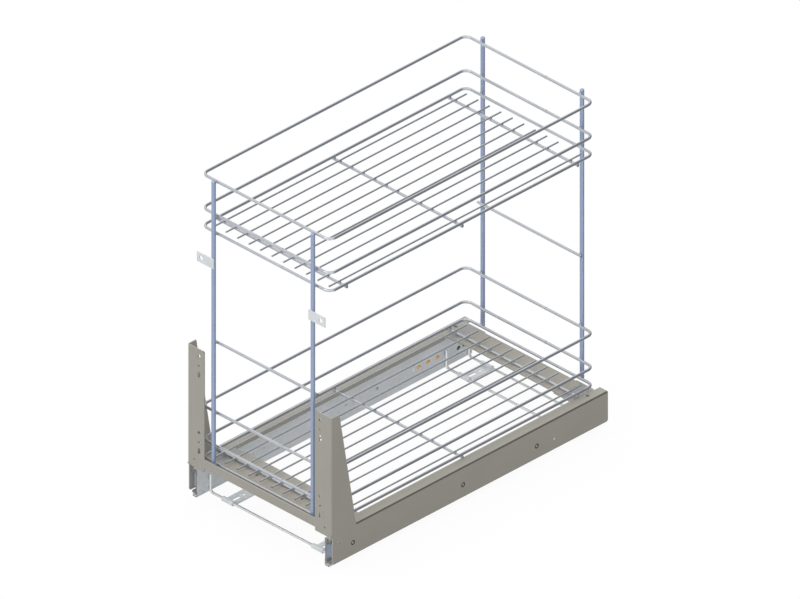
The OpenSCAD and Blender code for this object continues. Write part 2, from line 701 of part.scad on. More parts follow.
module runner_fixed(side) color(zinc) at_runner(side) difference() {
  along_y(fixed_front_y, fixed_rear_y) fixed_profile();
  for (hole = web_holes) hole_x(-eps, damper_t0 + eps, half_l - hole[0], hole[1], hole[2]);
  for (end = [-1, 1])
    hole_x(-eps, damper_t0 + eps, web_slot_y, end * (web_slot_l - web_slot_w) / 2, web_slot_w);
  translate([-eps, web_slot_y - web_slot_w / 2, -(web_slot_l - web_slot_w) / 2])
    cube([damper_t0 + 2 * eps, web_slot_w, web_slot_l - web_slot_w]);
}
module runner_fixed_left() runner_fixed(left);
module runner_fixed_right() runner_fixed(right);

module runner_middle(side) color(blue_steel) at_runner(side)
  along_y(middle_front_y, middle_rear_y) middle_profile();
module runner_middle_left() runner_middle(left);
module runner_middle_right() runner_middle(right);

module runner_drawer(side) color(zinc) difference() {
  at_runner(side) {
    along_y(drawer_front_y, drawer_rear_y) drawer_profile();
    translate([runner_gap - runner_t - tongue_w, tongue_y, -tongue_h / 2])
      cube([tongue_w + runner_t / 2, tongue_l - tongue_clear, tongue_h]);
  }
  on_side(side) for (p = screw_places)
    hole_x(wall_in_x - runner_t - eps, wall_in_x + eps, p, screw_z, screw_d + 2 * screw_clear);
}
module runner_drawer_left() runner_drawer(left);
module runner_drawer_right() runner_drawer(right);

// Ball cages: a strip over each ball row, with a pocket for each ball
module cage(side, t, z, y, n, l, t0, t1) color(chrome_wire) at_runner(side)
  for (up = [-1, 1]) difference() {
    translate([t0, y - l / 2, up * z - cage_t / 2]) cube([t1 - t0, l, cage_t]);
    for (k = [0:n - 1]) translate([t, y + (k - (n - 1) / 2) * ball_pitch, up * z])
      cylinder(h = 2 * cage_t, r = ball_r + pocket_clear, center = true);
  }
module balls(side, t, z, y, n) color(zinc) at_runner(side)
  for (up = [-1, 1]) for (k = [0:n - 1])
    translate([t, y + (k - (n - 1) / 2) * ball_pitch, up * z]) sphere(r = ball_r, $fn = 20);

module outer_cage(side) cage(side, outer_ball_t, outer_ball_z, outer_cage_y, outer_ball_n, outer_cage_l,
  runner_t + side_clear, fixed_race_t - runner_t - side_clear);
module inner_cage(side) cage(side, inner_ball_t, inner_ball_z, inner_cage_y, inner_ball_n, inner_cage_l,
  middle_web_t0 + middle_t + side_clear, middle_flange_w - middle_t - side_clear);
module outer_cage_left() outer_cage(left);
module outer_cage_right() outer_cage(right);
module inner_cage_left() inner_cage(left);
module inner_cage_right() inner_cage(right);
module outer_balls_left() balls(left, outer_ball_t, outer_ball_z, outer_cage_y, outer_ball_n);
module outer_balls_right() balls(right, outer_ball_t, outer_ball_z, outer_cage_y, outer_ball_n);
module inner_balls_left() balls(left, inner_ball_t, inner_ball_z, inner_cage_y, inner_ball_n);
module inner_balls_right() balls(right, inner_ball_t, inner_ball_z, inner_cage_y, inner_ball_n);

// Soft close damper on the fixed member's web: housing, cylinder rib and the slider's mouth
module damper(side) color(orange) at_runner(side) difference() {
  union() {
    translate([damper_t0, damper_front_y, -damper_h / 2])
      cube([damper_t1 - damper_t0 - damper_rib, damper_l, damper_h]);
    translate([damper_t0, damper_front_y, -damper_h / 4])
      cube([damper_t1 - damper_t0, damper_l, damper_h / 2]);
  }
  translate([damper_t1 - damper_mouth_d, damper_front_y - eps, -damper_mouth_h / 2])
    cube([damper_mouth_d + eps, damper_mouth_l + eps, damper_mouth_h]);
}
module damper_left() damper(left);
module damper_right() damper(right);

// Rubber buffers on the fixed members' webs, behind the dampers
module rear_buffer(side) color(rubber_black) at_runner(side)
  translate([damper_t0, buffer_front_y, -damper_h / 2])
    cube([damper_t1 - damper_t0, buffer_rear_y - buffer_front_y, damper_h]);
module rear_buffer_left() rear_buffer(left);
module rear_buffer_right() rear_buffer(right);

// Floor frame: U shaped wires with their legs welded to the fixed members
module foot_wire(y) translate([0, y, foot_z]) {
  wire_x(2 * (foot_leg_x - foot_bend_r), foot_wire_d);
  for (side = [left, right]) on_side(side) {
    translate([foot_leg_x - foot_bend_r, 0, foot_bend_r])
      rotate([90, 0, 0]) rotate([0, 0, -90]) wire_bend(foot_bend_r, foot_wire_d);
    translate([foot_leg_x, 0, foot_bend_r])
      cylinder(h = foot_leg_z - foot_z - foot_bend_r, d = foot_wire_d);
  }
}
module foot_pair(y) color(zinc) for (k = [0, 1]) foot_wire(y + k * foot_pair_pitch);
module foot_wires_front() foot_pair(front_pair_y);
module foot_wires_rear() foot_pair(rear_pair_y);

// Floor tab: a plate rolled round both wires of a pair, with a slot and a hole for floor screws
module tab_roll(y, open) translate([0, y, foot_z]) difference() {
  wire_x(tab_w, 2 * foot_z);
  wire_x(tab_w + 2 * eps, foot_wire_d + 2 * tab_roll_clear);
  translate([-tab_w / 2 - eps, open > 0 ? 0 : -2 * foot_z, -foot_z - eps])
    cube([tab_w + 2 * eps, 2 * foot_z, foot_z + eps]);
}

module floor_tab(side, y) color(zinc) translate([side * tab_x, 0, 0]) difference() {
  union() {
    translate([-tab_w / 2, y, 0]) cube([tab_w, foot_pair_pitch, tab_t]);
    tab_roll(y, 1);
    tab_roll(y + foot_pair_pitch, -1);
  }
  for (end = [-1, 1]) translate([0, y + floor_slot_y + end * (floor_slot_l - floor_hole_d) / 2, -eps])
    cylinder(h = tab_t + 2 * eps, d = floor_hole_d);
  translate([-floor_hole_d / 2, y + floor_slot_y - (floor_slot_l - floor_hole_d) / 2, -eps])
    cube([floor_hole_d, floor_slot_l - floor_hole_d, tab_t + 2 * eps]);
  translate([0, y + floor_hole_y, -eps]) cylinder(h = tab_t + 2 * eps, d = floor_hole_d);
}
module floor_tab_front_left() floor_tab(left, front_pair_y);
module floor_tab_front_right() floor_tab(right, front_pair_y);
module floor_tab_rear_left() floor_tab(left, rear_pair_y);
module floor_tab_rear_right() floor_tab(right, rear_pair_y);

runner_fixed_left();
runner_fixed_right();
runner_middle_left();
runner_middle_right();
runner_drawer_left();
runner_drawer_right();
outer_cage_left();
outer_cage_right();
outer_balls_left();
outer_balls_right();
inner_cage_left();
inner_cage_right();
inner_balls_left();
inner_balls_right();
damper_left();
damper_right();
rear_buffer_left();
rear_buffer_right();
foot_wires_front();
foot_wires_rear();
floor_tab_front_left();
floor_tab_front_right();
floor_tab_rear_left();
floor_tab_rear_right();
side_rail_left();
side_rail_right();
rail_screws_left();
rail_screws_right();
front_cross_plate();
rear_cross_plate();
corner_plate_front_left();
corner_plate_front_right();
corner_plate_rear_left();
corner_plate_rear_right();
upright_front_left();
upright_front_right();
upright_rear_left();
upright_rear_right();
tie_bar_front();
tie_bar_rear();
door_lug_left();
door_lug_right();
lower_bottom_ring();
lower_middle_ring();
lower_top_ring();
lower_floor_wires();
lower_cross_wires();
upper_bottom_ring();
upper_middle_ring();
upper_top_ring();
upper_floor_wires();
upper_cross_wires();
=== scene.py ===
import json
import math
import random

import bmesh
import bpy
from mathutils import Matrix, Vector


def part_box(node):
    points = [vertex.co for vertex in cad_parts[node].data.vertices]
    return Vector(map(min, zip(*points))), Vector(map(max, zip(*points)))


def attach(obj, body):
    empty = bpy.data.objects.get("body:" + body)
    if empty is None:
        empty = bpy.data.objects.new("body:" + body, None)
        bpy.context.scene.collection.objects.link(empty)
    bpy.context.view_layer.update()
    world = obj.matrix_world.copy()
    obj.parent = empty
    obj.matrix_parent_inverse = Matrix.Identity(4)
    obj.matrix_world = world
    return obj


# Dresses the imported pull-out for a kitchen base cabinet: finishes, welds, small fittings and a plain studio.
# The door end faces -Y, the carriage comes out along -Y, and everything is in metres.

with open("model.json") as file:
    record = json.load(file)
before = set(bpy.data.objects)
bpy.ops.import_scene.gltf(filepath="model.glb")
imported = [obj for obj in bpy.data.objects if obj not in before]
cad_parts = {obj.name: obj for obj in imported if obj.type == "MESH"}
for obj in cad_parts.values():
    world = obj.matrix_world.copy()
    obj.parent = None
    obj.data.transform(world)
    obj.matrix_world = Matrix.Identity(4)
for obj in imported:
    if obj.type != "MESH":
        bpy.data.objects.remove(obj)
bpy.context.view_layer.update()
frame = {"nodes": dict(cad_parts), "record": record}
scene = bpy.context.scene
random.seed(7)
print("frame loaded:", len(frame["nodes"]), "nodes")


# Camera: a parallel view at the photograph's angle
photoView = {
    "azimuth": 45.0,        # degrees round from the door end towards +X
    "elevation": 31.66,
    "pixelsPerMetre": 779.7,
    "imageWidth": 800,
    "target": (0.0020, 0.0020, 0.2443),
    "distance": 3.0,
}


def makeCamera(s):
    camera = bpy.data.objects.new("camera", bpy.data.cameras.new("camera"))
    scene.collection.objects.link(camera)
    camera.data.type = "ORTHO"
    camera.data.ortho_scale = s["imageWidth"] / s["pixelsPerMetre"]
    a, e = math.radians(s["azimuth"]), math.radians(s["elevation"])
    back = Vector((math.sin(a) * math.cos(e), -math.cos(a) * math.cos(e), math.sin(e)))
    camera.location = Vector(s["target"]) + back * s["distance"]
    camera.rotation_euler = back.to_track_quat("Z", "Y").to_euler()
    scene.camera = camera


makeCamera(photoView)
print("camera placed")


def middle(node):
    low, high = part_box(node)
    return [(low[k] + high[k]) / 2 for k in range(3)]


# Small helpers for node trees
def startMaterial(name):
    material = bpy.data.materials.new(name)
    material.use_nodes = True
    tree = material.node_tree
    tree.nodes.clear()
    out = tree.nodes.new("ShaderNodeOutputMaterial")
    shader = tree.nodes.new("ShaderNodeBsdfPrincipled")
    tree.links.new(shader.outputs["BSDF"], out.inputs["Surface"])
    return material, tree, shader


def addNode(tree, kind, **settings):
    node = tree.nodes.new(kind)
    for key, value in settings.items():
        setattr(node, key, value)
    return node


def link(tree, source, target):
    tree.links.new(source, target)


def worked(tree, kind, operation, *values):
    # the result of a Math or VectorMath node that takes numbers or other nodes' outputs
    node = addNode(tree, kind, operation=operation)
    for k, value in enumerate(values):
        if isinstance(value, bpy.types.NodeSocket):
            link(tree, value, node.inputs[k])
        else:
            node.inputs[k].default_value = value
    return node.outputs["Value"]


def axisOf(tree, vector, axis):
    parts = addNode(tree, "ShaderNodeSeparateXYZ")
    link(tree, vector, parts.inputs["Vector"])
    return parts.outputs[axis]


def noise(tree, coords, scale, detail=4.0, roughness=0.55):
    node = addNode(tree, "ShaderNodeTexNoise")
    node.inputs["Scale"].default_value = scale
    node.inputs["Detail"].default_value = detail
    node.inputs["Roughness"].default_value = roughness
    link(tree, coords, node.inputs["Vector"])
    return node.outputs["Fac"]


def stretched(tree, scale=(1, 1, 1)):
    coords = addNode(tree, "ShaderNodeTexCoord")
    mapping = addNode(tree, "ShaderNodeMapping")
    mapping.inputs["Scale"].default_value = scale
    link(tree, coords.outputs["Object"], mapping.inputs["Vector"])
    return mapping.outputs["Vector"]


def spread(tree, value, low, high, fromLow=0.3, fromHigh=0.7):
    node = addNode(tree, "ShaderNodeMapRange")
    node.inputs["From Min"].default_value = fromLow
    node.inputs["From Max"].default_value = fromHigh
    node.inputs["To Min"].default_value = low
    node.inputs["To Max"].default_value = high
    link(tree, value, node.inputs["Value"])
    return node.outputs["Result"]


def twoColours(tree, factor, first, second):
    node = addNode(tree, "ShaderNodeMix", data_type="RGBA")
    node.inputs["A"].default_value = (*first, 1)
    node.inputs["B"].default_value = (*second, 1)
    link(tree, factor, node.inputs["Factor"])
    return node.outputs["Result"]


def mixedOver(tree, factor, under, over):
    node = addNode(tree, "ShaderNodeMix", data_type="RGBA")
    link(tree, factor, node.inputs["Factor"])
    link(tree, under, node.inputs["A"])
    node.inputs["B"].default_value = (*over, 1)
    return node.outputs["Result"]


def bumped(tree, shader, height, strength, distance):
    node = addNode(tree, "ShaderNodeBump")
    node.inputs["Strength"].default_value = strength
    node.inputs["Distance"].default_value = distance
    link(tree, height, node.inputs["Height"])
    link(tree, node.outputs["Normal"], shader.inputs["Normal"])


# Finishes: grain and clouds are in waves per metre
powderCoat = {
    "colour": (0.335, 0.322, 0.282),
    "shade": (0.318, 0.305, 0.267),
    "cloud": 14.0,
    "bendShade": (0.085, 0.080, 0.070),   # painted shade line along the bends between the rails' tops and walls
    "bendShadeWidth": (0.12, 0.28),           # from where on the bend it starts, and where it is full
    "edgeHighlight": (0.42, 0.405, 0.365),      # painted highlight along the sheet's edges
    "edgeHighlightReach": 0.0009,
    "edgeHighlightFrom": (0.72, 0.96),          # cosine of the turn at an edge, from full to none
    "roughness": (0.42, 0.52),
    "peel": 900.0,                       # orange peel
    "peelStrength": 0.25,
    "peelDepth": 0.00003,
}
greyPaint = {"colour": (0.318, 0.316, 0.318), "shade": (0.30, 0.30, 0.304)}     # the corner plates' batch


# where the painted shade line lies: faces turned between sideways and up
def bendShadeFactor(tree, s):
    normal = addNode(tree, "ShaderNodeNewGeometry").outputs["Normal"]
    sideways = worked(tree, "ShaderNodeMath", "ABSOLUTE", axisOf(tree, normal, "X"))
    both = worked(tree, "ShaderNodeMath", "MULTIPLY", sideways, axisOf(tree, normal, "Z"))
    return spread(tree, both, 0, 1, *s["bendShadeWidth"])


# where the painted edge highlight lies: how far the rounded normal turns from the face's
def edgeHighlightFactor(tree, s):
    normal = addNode(tree, "ShaderNodeNewGeometry").outputs["Normal"]
    bevel = addNode(tree, "ShaderNodeBevel", samples=4)
    bevel.inputs["Radius"].default_value = s["edgeHighlightReach"]
    turned = worked(tree, "ShaderNodeVectorMath", "DOT_PRODUCT", normal, bevel.outputs["Normal"])
    return spread(tree, turned, 1, 0, *s["edgeHighlightFrom"])


def makePowderCoat(name, s):
    material, tree, shader = startMaterial(name)
    coords = stretched(tree)
    cloud = noise(tree, coords, s["cloud"])
    peel = noise(tree, coords, s["peel"], detail=2.0)
    colour = twoColours(tree, spread(tree, cloud, 0, 1), s["colour"], s["shade"])
    colour = mixedOver(tree, edgeHighlightFactor(tree, s), colour, s["edgeHighlight"])
    colour = mixedOver(tree, bendShadeFactor(tree, s), colour, s["bendShade"])
    link(tree, colour, shader.inputs["Base Color"])
    link(tree, spread(tree, cloud, *s["roughness"]), shader.inputs["Roughness"])
    bumped(tree, shader, peel, s["peelStrength"], s["peelDepth"])
    return material


zincPlate = {
    "colour": (0.715, 0.74, 0.755),
    "shade": (0.63, 0.66, 0.68),
    "roughness": (0.34, 0.46),
    "metallic": 0.2,
    "cloud": 30.0,
    "spangle": 260.0,               # cells of the plating
    "spangleShare": 0.3,            # how much the cells add to the cloud
    "toneRange": (0.4, 0.95),
    "grain": 700.0,
    "grainStrength": 0.12,
    "grainDepth": 0.00002,
}
shadedCutEnd = (0.155, 0.158, 0.16)   # the runner sections' ends, cut after plating, darkened past bare steel as painted shade


def cutEndFactor(tree, low=0.9, high=0.97):
    # 1 on faces that look along Y, where a section was cut off; painted shade goes there
    normal = addNode(tree, "ShaderNodeNewGeometry").outputs["True Normal"]
    size = worked(tree, "ShaderNodeMath", "ABSOLUTE", axisOf(tree, normal, "Y"))
    return spread(tree, size, 0, 1, low, high)


def makeZinc(name, s):
    material, tree, shader = startMaterial(name)
    coords = stretched(tree)
    cell = addNode(tree, "ShaderNodeTexVoronoi")
    cell.inputs["Scale"].default_value = s["spangle"]
    link(tree, coords, cell.inputs["Vector"])
    tone = addNode(tree, "ShaderNodeRGBToBW")
    link(tree, cell.outputs["Color"], tone.inputs["Color"])
    cloud = noise(tree, coords, s["cloud"])
    mixed = worked(tree, "ShaderNodeMath", "MULTIPLY_ADD", tone.outputs["Val"], s["spangleShare"], cloud)
    colour = twoColours(tree, spread(tree, mixed, 0, 1, *s["toneRange"]), s["colour"], s["shade"])
    # painted shade on the cut ends
    if "cutEndShade" in s:
        colour = mixedOver(tree, cutEndFactor(tree), colour, s["cutEndShade"])
    link(tree, colour, shader.inputs["Base Color"])
    link(tree, spread(tree, mixed, *s["roughness"], *s["toneRange"]), shader.inputs["Roughness"])
    shader.inputs["Metallic"].default_value = s["metallic"]
    grain = noise(tree, coords, s["grain"], detail=2.0)
    bumped(tree, shader, grain, s["grainStrength"], s["grainDepth"])
    return material


# Drawn and rolled metal: each finish below says what differs from this
drawnMetal = {
    "metallic": 1.0,
    "cloud": 25.0,
    "lines": 900.0,
    "lineStrength": 0.08,
    "lineDepth": 0.00001,
    "along": (1, 1, 1),             # a small number stretches the lines along that axis
}
basketWire = {"colour": (0.62, 0.64, 0.67), "shade": (0.53, 0.55, 0.585), "roughness": (0.16, 0.26)}
zincWire = {
    "colour": (0.78, 0.80, 0.81),
    "shade": (0.70, 0.72, 0.73),
    "roughness": (0.2, 0.3),
    "metallic": 0.75,
}
cageSheet = {"colour": (0.5, 0.5, 0.5), "shade": (0.44, 0.44, 0.45), "roughness": (0.3, 0.4)}
ballSteel = {"colour": (0.6, 0.6, 0.61), "shade": (0.56, 0.56, 0.57), "roughness": (0.08, 0.14)}
weldFinish = {"colour": (0.56, 0.57, 0.60), "shade": (0.40, 0.41, 0.44), "roughness": (0.28, 0.44)}
zincWeld = {"colour": (0.50, 0.51, 0.52), "shade": (0.38, 0.39, 0.40), "roughness": (0.38, 0.5)}
blueRod = {
    "colour": (0.335, 0.405, 0.575),
    "shade": (0.315, 0.385, 0.55),
    "roughness": (0.30, 0.36),
    "metallic": 0.55,
    "lineStrength": 0.03,
    "along": (1, 1, 0.05),
}
blueSheet = {
    "colour": (0.46, 0.52, 0.68),
    "shade": (0.41, 0.465, 0.615),
    "roughness": (0.34, 0.44),
    "metallic": 0.2,
    # painted shade on the cut ends
    "cutEndShade": (0.15, 0.152, 0.155),
    "track": (0.285, 0.28, 0.265),      # painted shade in the ball tracks
    "trackFrom": (0.0098, 0.0112),      # heights above and below the middle of the web, from none to full
    "trackReach": (0.012, 0.022),       # from the front end, from full to none
}


def trackShadeFactor(tree, s):
    # 1 on the middle members' ball tracks, above and below the web, near the front end, where shade is painted
    place = stretched(tree)
    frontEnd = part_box("runner_middle_right")[0][1]
    webHeight = middle("runner_middle_right")[2]
    height = worked(tree, "ShaderNodeMath", "SUBTRACT", axisOf(tree, place, "Z"), webHeight)
    away = worked(tree, "ShaderNodeMath", "ABSOLUTE", height)
    ends = [frontEnd + reach for reach in s["trackReach"]]
    atTrack = spread(tree, away, 0, 1, *s["trackFrom"])
    atFront = spread(tree, axisOf(tree, place, "Y"), 1, 0, *ends)
    return worked(tree, "ShaderNodeMath", "MULTIPLY", atTrack, atFront)


def makeDrawnMetal(name, finish):
    s = {**drawnMetal, **finish}
    material, tree, shader = startMaterial(name)
    lines = noise(tree, stretched(tree, s["along"]), s["lines"], detail=3.0)
    cloud = noise(tree, stretched(tree), s["cloud"])
    colour = twoColours(tree, spread(tree, cloud, 0, 1), s["colour"], s["shade"])
    # painted shade on the ball tracks near the front end
    if "track" in s:
        colour = mixedOver(tree, trackShadeFactor(tree, s), colour, s["track"])
    # painted shade on the cut ends
    if "cutEndShade" in s:
        colour = mixedOver(tree, cutEndFactor(tree), colour, s["cutEndShade"])
    link(tree, colour, shader.inputs["Base Color"])
    link(tree, spread(tree, lines, *s["roughness"]), shader.inputs["Roughness"])
    shader.inputs["Metallic"].default_value = s["metallic"]
    bumped(tree, shader, lines, s["lineStrength"], s["lineDepth"])
    return material


mouldedGrain = {
    "cloud": 60.0,
    "grain": 1500.0,
    "grainStrength": 0.2,
    "grainDepth": 0.00003,
    "drift": 0.1,                   # how much rougher it gets from place to place
}
amberPlastic = {"colour": (0.88, 0.46, 0.10), "shade": (0.82, 0.41, 0.08), "roughness": 0.42}
darkRubber = {"colour": (0.075, 0.075, 0.08), "shade": (0.095, 0.095, 0.10), "roughness": 0.6}


def makePlastic(name, look):
    s = {**mouldedGrain, **look}
    material, tree, shader = startMaterial(name)
    coords = stretched(tree)
    cloud = noise(tree, coords, s["cloud"])
    colour = twoColours(tree, spread(tree, cloud, 0, 1), s["colour"], s["shade"])
    link(tree, colour, shader.inputs["Base Color"])
    roughness = spread(tree, cloud, s["roughness"], s["roughness"] + s["drift"])
    link(tree, roughness, shader.inputs["Roughness"])
    grain = noise(tree, coords, s["grain"], detail=2.0)
    bumped(tree, shader, grain, s["grainStrength"], s["grainDepth"])
    return material


screwSteel = {
    "colour": (0.075, 0.072, 0.066),       # head darkened as painted shade of the countersink
    "shade": (0.055, 0.053, 0.050),
    "socket": (0.50, 0.495, 0.47),         # painted highlight at each head's middle
    "socketReach": (0.0013, 0.0019),       # from the screw's middle, from full to none
    "roughness": (0.35, 0.5),
    "metallic": 0.3,
    "cloud": 400.0,
    "cloudStrength": 0.1,
    "cloudDepth": 0.00002,
    "apart": 0.02,                         # vertices further apart along Y belong to different screws
}


def screwPlaces(node, apart):
    # the middles along Y of a node's separate screws
    places = sorted((frame["nodes"][node].matrix_world @ v.co).y for v in frame["nodes"][node].data.vertices)
    groups = [[places[0]]]
    for y in places[1:]:
        if y - groups[-1][-1] > apart:
            groups.append([])
        groups[-1].append(y)
    return [(group[0] + group[-1]) / 2 for group in groups]


def makeScrewSteel(name, s):
    # the left and the right screws lie at the same places along Y and Z
    material, tree, shader = startMaterial(name)
    height = middle("rail_screws_right")[2]
    flat = stretched(tree, (0, 1, 1))
    nearest = None
    for y in screwPlaces("rail_screws_right", s["apart"]):
        away = worked(tree, "ShaderNodeVectorMath", "DISTANCE", flat, (0, y, height))
        nearest = away if nearest is None else worked(tree, "ShaderNodeMath", "MINIMUM", nearest, away)
    cloud = noise(tree, stretched(tree), s["cloud"])
    head = twoColours(tree, spread(tree, cloud, 0, 1), s["colour"], s["shade"])
    # painted highlight at each screw's middle, over the head's painted shade
    colour = mixedOver(tree, spread(tree, nearest, 1, 0, *s["socketReach"]), head, s["socket"])
    link(tree, colour, shader.inputs["Base Color"])
    link(tree, spread(tree, cloud, *s["roughness"]), shader.inputs["Roughness"])
    shader.inputs["Metallic"].default_value = s["metallic"]
    bumped(tree, shader, cloud, s["cloudStrength"], s["cloudDepth"])
    return material


finishes = {
    "taupe_paint": makePowderCoat("taupePowderCoat", powderCoat),
    "zinc_sheet": makeZinc("zincPlatedSheet", zincPlate),
    "blue_zinc": makeDrawnMetal("blueZincSheet", blueSheet),
    "upright_steel": makeDrawnMetal("bluePlatedRod", blueRod),
    "chrome_wire": makeDrawnMetal("platedBasketWire", basketWire),
    "zinc_wire": makeDrawnMetal("zincPlatedWire", zincWire),
    "cage_steel": makeDrawnMetal("ballCageSheet", cageSheet),
    "ball_steel": makeDrawnMetal("polishedBall", ballSteel),
    "screw_steel": makeScrewSteel("screwHeadPaintedLight", screwSteel),
    "orange_plastic": makePlastic("amberDamper", amberPlastic),
    "black_rubber": makePlastic("darkBuffer", darkRubber),
}
weldSteel = makeDrawnMetal("weldedWire", weldFinish)
weldZinc = makeDrawnMetal("weldedZinc", zincWeld)
# the weld stitches' coat leaves out the painted bend shade
weldedCoat = makePowderCoat("weldedPowderCoat", {**powderCoat, "bendShade": powderCoat["shade"]})
greyCoat = makePowderCoat("greyPowderCoat", {**powderCoat, **greyPaint})
runnerZinc = makeZinc("zincRunnerSheet", {**zincPlate, "cutEndShade": shadedCutEnd})
print("finishes made:", len(finishes))

slotOf = {row["node"]: row["material_slot"] for row in frame["record"]["subparts"]}
ownFinish = {"runner_fixed": runnerZinc, "runner_drawer": runnerZinc, "corner_plate": greyCoat}
for nodeName, nodeObject in frame["nodes"].items():
    nodeFinish = finishes[slotOf[nodeName]]
    for start, finish in ownFinish.items():
        if nodeName.startswith(start):
            nodeFinish = finish
    for materialSlot in nodeObject.material_slots:
        materialSlot.material = nodeFinish
print("CAD nodes dressed")


# Pieces made here ride on the bodies whose solids carry them
def newPiece(name, shape, body, material):
    mesh = bpy.data.meshes.new(name)
    shape.to_mesh(mesh)
    shape.free()
    for face in mesh.polygons:
        face.use_smooth = True
    mesh.materials.append(material)
    piece = bpy.data.objects.new(name, mesh)
    scene.collection.objects.link(piece)
    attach(piece, body)


beadShape = {
    "lumps": 0.10,              # how uneven a nugget is, as a share of its size
    "ripple": 0.14,             # the steps that welding leaves along a bead
    "uneven": 0.04,             # how much its thickness wanders
    "endTaper": 0.12,           # how much of a half wave an open bead leaves off at each end
    "steep": 0.9,               # above this a bead's rings are turned without the vertical
    "sides": 8,
}


def addNugget(shape, centre, halfSize):
    lumps = beadShape["lumps"]
    ball = bmesh.ops.create_icosphere(shape, subdivisions=2, radius=1.0)
    for vert in ball["verts"]:
        swell = 1 + random.uniform(-lumps, lumps)
        vert.co = Vector([centre[k] + vert.co[k] * halfSize[k] * swell for k in range(3)])


def straight(start, end, count):
    return [Vector(start).lerp(Vector(end), k / (count - 1)) for k in range(count)]


def circleRound(centre, radius, count, across=(0, 1)):
    points = []
    for k in range(count):
        point = Vector(centre)
        point[across[0]] += radius * math.cos(2 * math.pi * k / count)
        point[across[1]] += radius * math.sin(2 * math.pi * k / count)
        points.append(point)
    return points


def addBead(shape, path, radius, closed=False, ripple=beadShape["ripple"]):
    # a rounded bead along the path; an open one thins towards its ends
    rings = []
    count, sides = len(path), beadShape["sides"]
    uneven, endTaper = beadShape["uneven"], beadShape["endTaper"]
    for k, point in enumerate(path):
        after = path[(k + 1) % count] if closed else path[min(k + 1, count - 1)]
        before = path[k - 1] if closed else path[max(k - 1, 0)]
        along = (after - before).normalized()
        first = along.orthogonal() if abs(along.z) > beadShape["steep"] else along.cross(Vector((0, 0, 1)))
        first.normalize()
        second = along.cross(first)
        share = endTaper + (1 - 2 * endTaper) * k / (count - 1)
        taper = 1.0 if closed else math.sin(math.pi * share) ** 0.5
        size = radius * taper * (1 + ripple * (k % 3 - 1) + random.uniform(-uneven, uneven))
        rings.append([shape.verts.new(point + size * (first * math.cos(a) + second * math.sin(a)))
                      for a in (2 * math.pi * n / sides for n in range(sides))])
    for k in range(count if closed else count - 1):
        one, two = rings[k], rings[(k + 1) % count]
        for n in range(sides):
            shape.faces.new((one[n], one[(n + 1) % sides], two[(n + 1) % sides], two[n]))
    if not closed:
        shape.faces.new(rings[0][::-1])
        shape.faces.new(rings[-1])


# Welds
corners = ("front_left", "front_right", "rear_left", "rear_right")
basketWeld = {
    "wireRadius": 0.002,                         # of the rings and the cross wires
    "floorWires": 11,
    "floorNugget": (0.0021, 0.0021, 0.0007),     # half sizes, where a floor wire crosses a cross wire
    "sideNugget": (0.0026, 0.0026, 0.0009),      # where a cross wire meets the ring
    "rodNugget": (0.0031, 0.0009, 0.0026),       # where a rod touches an end wire
    "seam": (0.0020, 0.00035),                   # the butt weld that closes a ring: its radius and bead
    "seamPlace": 0.030,                          # how far to the right of the middle it lies
    "seamPoints": 16,
}


def makeBasketWelds(basket, s):
    shape = bmesh.new()
    r = s["wireRadius"]
    floorLow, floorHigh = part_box(basket + "_floor_wires")
    crossLow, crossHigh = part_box(basket + "_cross_wires")
    ringLow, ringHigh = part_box(basket + "_bottom_ring")
    floorRadius = (floorHigh[2] - floorLow[2]) / 2
    firstX = floorLow[0] + floorRadius
    pitch = (floorHigh[0] - floorLow[0] - 2 * floorRadius) / (s["floorWires"] - 1)
    contact = crossHigh[2]
    for y in (crossLow[1] + r, 0.0, crossHigh[1] - r):
        for k in range(s["floorWires"]):
            addNugget(shape, (firstX + pitch * k, y, contact), s["floorNugget"])
        for x in (ringLow[0] + r, ringHigh[0] - r):
            addNugget(shape, (x, y, contact), s["sideNugget"])
    for ring in ("_bottom_ring", "_middle_ring", "_top_ring"):
        low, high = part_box(basket + ring)
        z = (low[2] + high[2]) / 2
        for rod in corners:
            x = middle("upright_" + rod)[0]
            addNugget(shape, (x, low[1] if rod.startswith("front") else high[1], z), s["rodNugget"])
        for y in (low[1] + r, high[1] - r):
            path = circleRound((s["seamPlace"], y, z), s["seam"][0], s["seamPoints"], (1, 2))
            addBead(shape, path, s["seam"][1], closed=True)
    newPiece(basket + "BasketWelds", shape, "pull_out", weldSteel)


frameWeld = {
    "barNugget": (0.0031, 0.0009, 0.0024),
    "footBead": 0.0010,
    "footRadius": 0.0033,
    "footRise": 0.0003,                 # how far the bead's middle lies over the plate
    "footPoints": 24,
    "lugBead": 0.0009,
    "lugBeside": 0.0021,                # from the rod's middle
    "lugBehind": 0.0003,
    "lugEnds": 0.0015,                  # what the bead leaves free at each end of the lug
    "lugPoints": 16,
}


def makeFrameWelds(s):
    shape = bmesh.new()
    for end in ("front", "rear"):
        barLow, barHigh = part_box("tie_bar_" + end)
        touching = barLow[1] if end == "front" else barHigh[1]
        for side in ("_left", "_right"):
            x, y = middle("upright_" + end + side)[:2]
            addNugget(shape, (x, touching, (barLow[2] + barHigh[2]) / 2), s["barNugget"])
            if end == "front":
                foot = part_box("upright_front" + side)[0][2] + s["footRise"]
                path = circleRound((x, y, foot), s["footRadius"], s["footPoints"])
                addBead(shape, path, s["footBead"], closed=True)
    for side in ("_left", "_right"):
        x = middle("upright_front" + side)[0]
        lugLow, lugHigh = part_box("door_lug" + side)
        y = lugHigh[1] + s["lugBehind"]
        bottom, top = lugLow[2] + s["lugEnds"], lugHigh[2] - s["lugEnds"]
        for across in (-s["lugBeside"], s["lugBeside"]):
            path = straight((x + across, y, bottom), (x + across, y, top), s["lugPoints"])
            addBead(shape, path, s["lugBead"])
    newPiece("frameWelds", shape, "pull_out", weldSteel)


